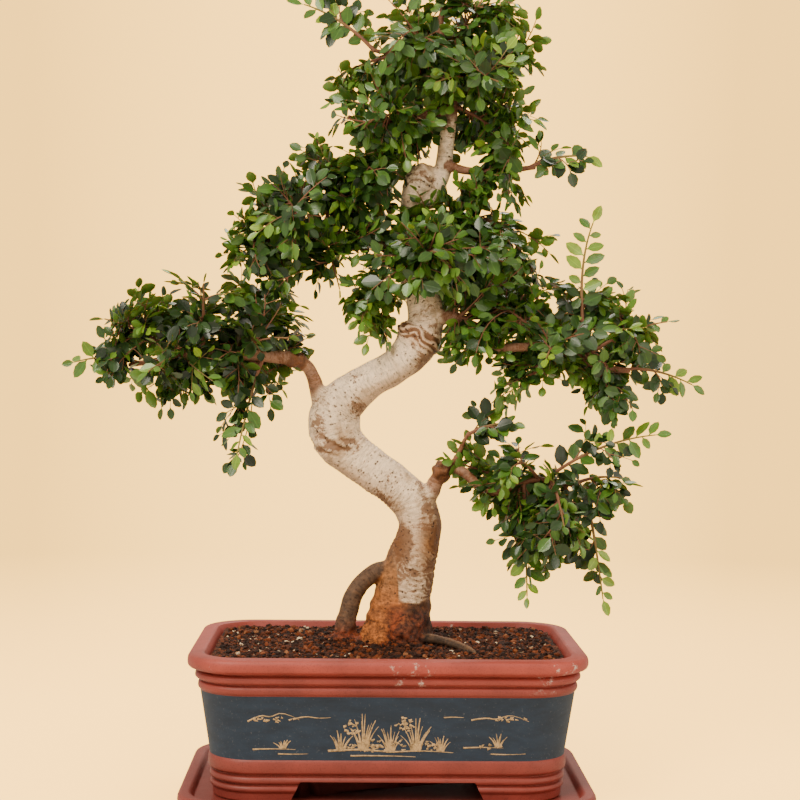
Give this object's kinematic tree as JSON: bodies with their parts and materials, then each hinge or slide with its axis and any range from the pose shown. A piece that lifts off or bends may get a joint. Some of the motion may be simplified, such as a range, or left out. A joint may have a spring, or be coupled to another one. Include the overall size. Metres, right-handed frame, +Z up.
{
  "type": "elm bonsai",
  "caption": "Small-leaved elm bonsai with an S-curved trunk, layered pads of foliage, a rectangular clay pot and its drip tray.",
  "frame": {"origin": "centre of the tray's flat underside, on the surface that the tray stands on", "axes": "+Z up, +X to the right as seen from the front, +Y away from the front"},
  "size_m": [0.5673, 0.24, 0.6984],
  "materials": {
    "red_clay": "matte",
    "black_mesh": "matte",
    "soil": "matte",
    "bark": "matte",
    "leaves": "satin"
  },
  "bodies": {
    "root": {"tray": "red_clay", "pot": "red_clay", "drain_screen_left": "black_mesh", "drain_screen_right": "black_mesh", "soil": "soil", "tree": "bark", "spray_crown_1": "leaves", "spray_crown_10": "leaves", "spray_crown_2": "leaves", "spray_crown_3": "leaves", "spray_crown_4": "leaves", "spray_crown_5": "leaves", "spray_crown_6": "leaves", "spray_crown_7": "leaves", "spray_crown_8": "leaves", "spray_crown_9": "leaves", "spray_crown_branch": "leaves", "spray_crown_tip": "leaves", "spray_left_1": "leaves", "spray_left_2": "leaves", "spray_left_3": "leaves", "spray_left_4": "leaves", "spray_left_5": "leaves", "spray_left_6": "leaves", "spray_left_7": "leaves", "spray_left_8": "leaves", "spray_left_droop": "leaves", "spray_left_tip": "leaves", "spray_low_droop": "leaves", "spray_low_far_droop": "leaves", "spray_low_knob": "leaves", "spray_low_right_1": "leaves", "spray_low_right_2": "leaves", "spray_low_right_3": "leaves", "spray_low_right_4": "leaves", "spray_low_right_5": "leaves", "spray_low_rise": "leaves", "spray_mid_left_1": "leaves", "spray_mid_left_2": "leaves", "spray_mid_left_3": "leaves", "spray_mid_left_4": "leaves", "spray_mid_left_5": "leaves", "spray_mid_left_6": "leaves", "spray_middle_1": "leaves", "spray_middle_2": "leaves", "spray_middle_3": "leaves", "spray_middle_4": "leaves", "spray_middle_5": "leaves", "spray_middle_6": "leaves", "spray_right_1": "leaves", "spray_right_2": "leaves", "spray_right_3": "leaves", "spray_right_4": "leaves", "spray_right_5": "leaves", "spray_right_6": "leaves", "spray_right_7": "leaves", "spray_right_rise": "leaves", "spray_right_tip": "leaves"}
  },
  "joints": []
}
